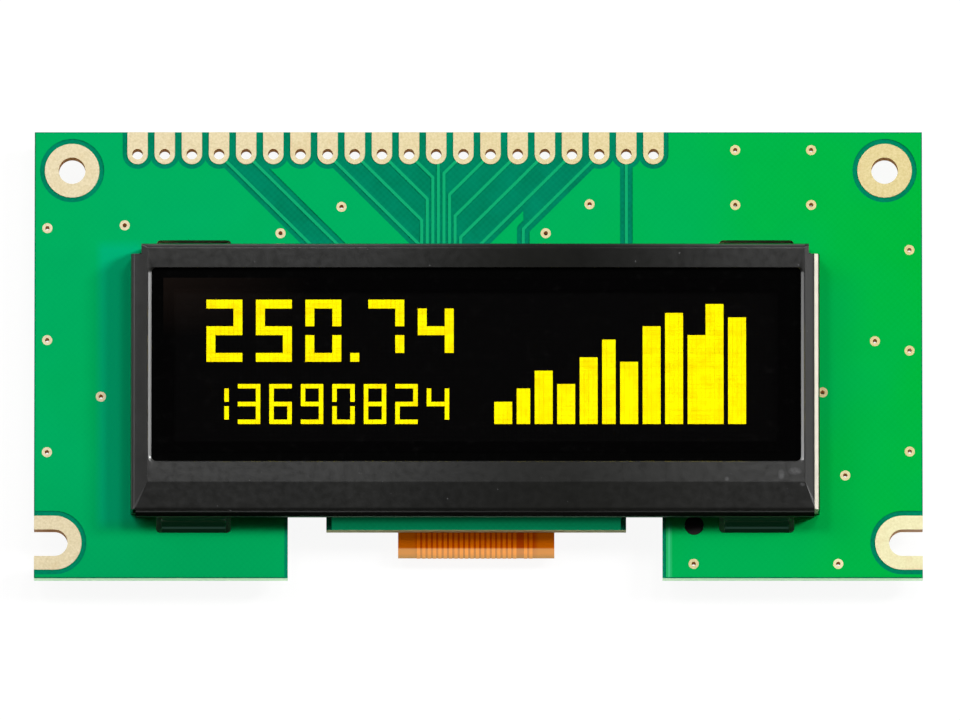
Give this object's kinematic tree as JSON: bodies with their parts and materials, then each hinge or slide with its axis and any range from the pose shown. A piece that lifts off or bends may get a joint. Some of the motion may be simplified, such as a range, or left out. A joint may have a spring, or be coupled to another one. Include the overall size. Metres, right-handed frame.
{
  "type": "small OLED display module",
  "caption": "Small yellow OLED dot-matrix display in a black stamped bezel, mounted on a green circuit board with a header row and a folded flex tail.",
  "frame": {"origin": "under the middle of the circuit board, on the surface that the module lies on", "axes": "+Z out of the display, +Y towards the header edge, +X to the right as the display is read"},
  "size_m": [0.083, 0.0422, 0.0072],
  "materials": {
    "board": "dark green solder mask over bare laminate",
    "masked_copper": "light green solder mask over copper",
    "masked_trace": "green solder mask over copper",
    "gold_plate": "pale gold plating",
    "black_paint": "satin black paint on steel",
    "gasket_foam": "matt black",
    "polarizer": "dark polarizing film",
    "panel_glass": "clear glass",
    "dark_film": "black",
    "lit_dots": "yellow light",
    "seal": "grey resin",
    "dark_glass": "dark backed glass",
    "foam": "matt black foam",
    "silicon": "polished grey",
    "amber_film": "amber polyimide",
    "flex_copper": "copper under amber film",
    "black_plastic": "moulded black",
    "ferrite": "dark grey ferrite",
    "tin": "matt tin",
    "tantalum_body": "moulded resin",
    "capacitor_ceramic": "tan ceramic",
    "resistor_body": "black glaze",
    "epoxy": "moulded black epoxy",
    "solder": "bright solder"
  },
  "bodies": {
    "root": {"pcb": "board", "front_pour": "masked_copper", "signal_traces": "masked_trace", "rear_pour": "masked_copper", "rear_traces": "masked_trace", "header_pads": "gold_plate", "mount_pads": "gold_plate", "via_pads": "gold_plate", "bezel": "black_paint", "gasket_strips": "gasket_foam", "polarizer": "polarizer", "front_glass": "panel_glass", "organic_layer": "dark_film", "lit_dots": "lit_dots", "panel_seal": "seal", "rear_glass": "dark_glass", "foam_strips": "foam", "driver_chip": "silicon", "flex_tail": "amber_film", "flex_conductors": "flex_copper", "locating_pin": "black_plastic", "rear_lands": "gold_plate", "inductor": "ferrite", "inductor_ends": "tin", "tantalum_capacitors": "tantalum_body", "tantalum_ends": "tin", "capacitors": "capacitor_ceramic", "capacitor_ends": "tin", "resistors": "resistor_body", "resistor_ends": "tin", "converter": "epoxy", "converter_leads": "tin", "diode": "epoxy", "diode_leads": "tin", "solder_fillets": "solder"}
  },
  "joints": []
}
